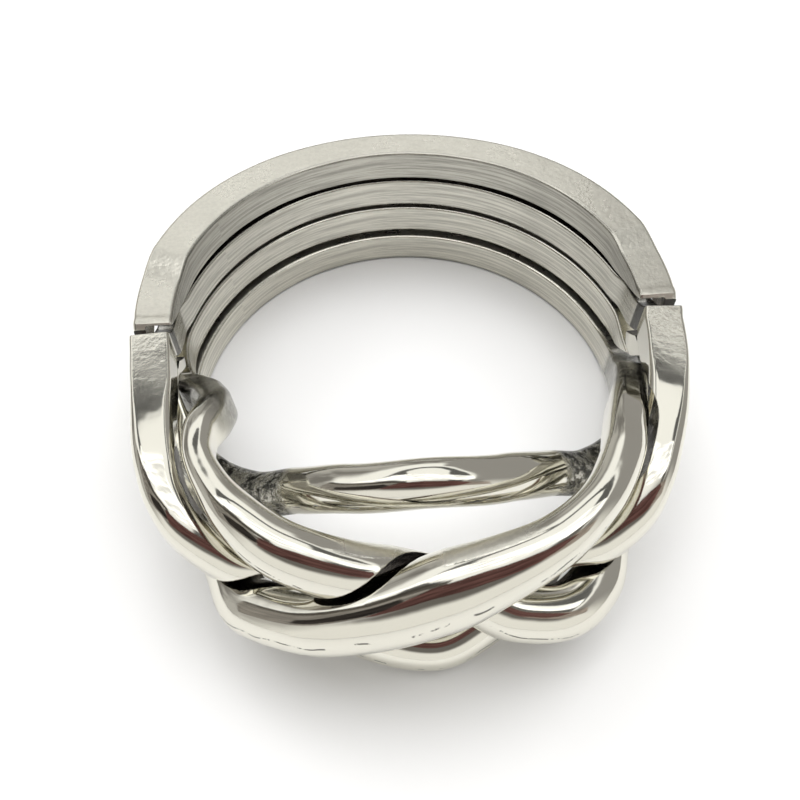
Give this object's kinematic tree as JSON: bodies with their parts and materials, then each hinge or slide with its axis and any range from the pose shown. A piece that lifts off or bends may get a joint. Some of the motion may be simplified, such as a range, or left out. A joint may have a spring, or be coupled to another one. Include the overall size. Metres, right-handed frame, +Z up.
{
  "type": "metal ring disentanglement puzzle",
  "caption": "Finger-ring-shaped disentanglement puzzle: closed polished metal bands stacked flat at the back and woven into a knot with half-lapped crossings at the front",
  "frame": {"origin": "on the surface the ring rests on, under the middle of the bounding box of the closed puzzle", "axes": "+Z runs up along the ring's own axis, -Y points to the woven knot at the front, +X points to the right when the knot is seen from outside"},
  "size_m": [0.0421, 0.0464, 0.0145],
  "materials": {
    "nickel_arch": "bright nickel plate, grainy cast top face at the back, polished strand at the front",
    "nickel_cradle": "bright nickel plate, fine cast grain on the flat patches, polished strand",
    "nickel_falling": "bright polished nickel plate with a fine parting line",
    "nickel_rising": "bright polished nickel plate with a fine parting line"
  },
  "bodies": {
    "cradle": {"cradle_band": "nickel_cradle"},
    "arch": {"arch_band": "nickel_arch"},
    "falling": {"falling_band": "nickel_falling"},
    "rising": {"rising_band": "nickel_rising"}
  },
  "joints": [
    {"name": "arch_lift", "type": "hinge", "parent": "cradle", "child": "arch", "pos_m": [0, -0.00233, 0.00599], "axis": [1, 0, 0], "range_deg": [0, 4.4]},
    {"name": "falling_swing", "type": "hinge", "parent": "cradle", "child": "falling", "pos_m": [0.003, -0.02733, 0.00469], "axis": [0, 0, -1], "range_deg": [0, 8]},
    {"name": "rising_swing", "type": "hinge", "parent": "cradle", "child": "rising", "pos_m": [0.011, -0.01333, 0.00139], "axis": [0, 0, 1], "range_deg": [0, 52]}
  ]
}
